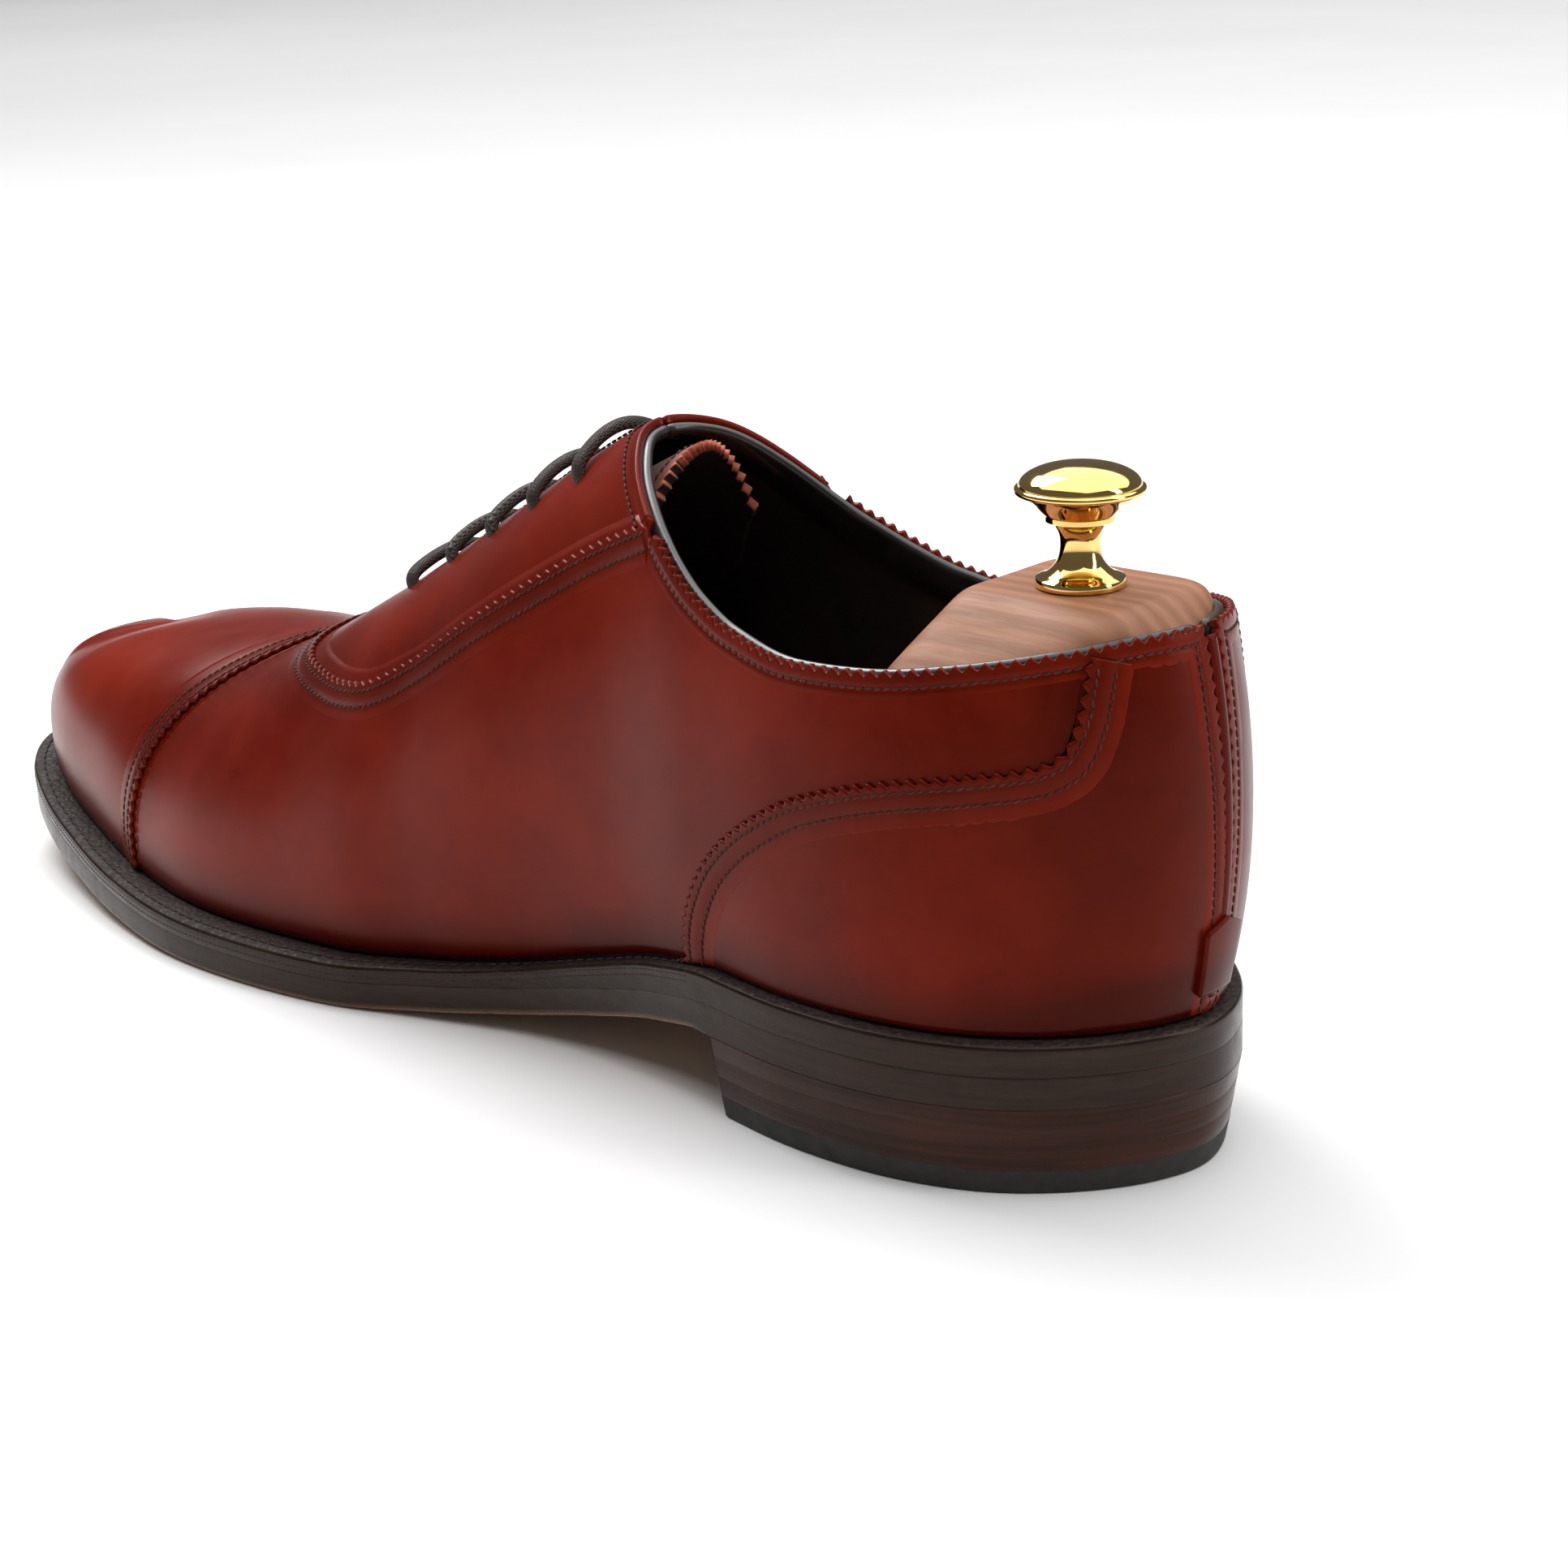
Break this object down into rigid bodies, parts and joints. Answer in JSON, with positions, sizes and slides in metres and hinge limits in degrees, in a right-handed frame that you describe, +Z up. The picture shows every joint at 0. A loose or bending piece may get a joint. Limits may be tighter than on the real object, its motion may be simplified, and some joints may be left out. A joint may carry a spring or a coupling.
{
  "type": "leather oxford shoe",
  "caption": "Left cap-toe oxford shoe in leather with stacked heel, laced shut over its sprung cedar shoe tree with a brass knob.",
  "frame": {"origin": "on the ground at the middle of the heel's top piece", "axes": "+X from the toe to the heel, -Y to the outer side of the foot, +Z up from the ground"},
  "size_m": [0.304, 0.0972, 0.1104],
  "materials": {
    "upper_leather": "burnished, polished",
    "lining_leather": "matte",
    "tongue_leather": "napped",
    "binding_leather": "satin",
    "board": "matte",
    "lace": "waxed cotton",
    "sole_leather": "inked and waxed edge",
    "rubber": "satin",
    "cork": "granular",
    "steel": "bright",
    "brass": "polished",
    "cedar": "sanded bare"
  },
  "bodies": {
    "shoe": {"toe_cap": "upper_leather", "vamp": "upper_leather", "facing_outer": "upper_leather", "facing_inner": "upper_leather", "rear_quarter_outer": "upper_leather", "rear_quarter_inner": "upper_leather", "vamp_lining": "lining_leather", "quarter_lining_outer": "lining_leather", "quarter_lining_inner": "lining_leather", "heel_lining": "lining_leather", "toe_puff": "board", "heel_stiffener": "board", "back_tab": "upper_leather", "topline_binding": "binding_leather", "lace": "lace", "outsole": "sole_leather", "welt": "sole_leather", "heel_rand": "sole_leather", "insole_rib": "board", "cork_filler": "cork", "seat_filler": "board", "shank": "steel", "insole": "board", "heel_sock": "lining_leather", "top_piece": "rubber", "heel_lift_1": "sole_leather", "heel_lift_2": "sole_leather", "heel_lift_3": "sole_leather", "top_piece_nail_1": "brass", "top_piece_nail_2": "brass", "top_piece_nail_3": "brass", "top_piece_nail_4": "brass", "top_piece_nail_5": "brass", "tree_toe_inner": "cedar", "tree_tube": "brass", "tree_spring": "steel", "spreader_pin_1": "steel", "spreader_pin_2": "steel"},
    "tongue": {"tongue": "tongue_leather"},
    "tree_toe_half": {"tree_toe_outer": "cedar"},
    "tree_heel": {"tree_heel_block": "cedar", "tree_rod": "steel", "tree_knob": "brass", "knob_screw": "steel"}
  },
  "joints": [
    {"name": "tree_compress", "type": "slide", "parent": "shoe", "child": "tree_heel", "axis": [-0.9949, 0.0561, -0.0841], "range_m": [0, 0.015], "stiffness_N_per_m": 1500, "deforming": ["tree_spring"]},
    {"name": "tree_split", "type": "slide", "parent": "shoe", "child": "tree_toe_half", "axis": [0, 1, 0], "range_m": [0, 0.0035], "stiffness_N_per_m": 2000},
    {"name": "tongue_hinge", "type": "hinge", "parent": "shoe", "child": "tongue", "pos_m": [-0.145, 0.006, 0.058], "axis": [0, 1, 0], "range_deg": [0, 10], "stiffness_Nm_per_rad": 0.5}
  ]
}
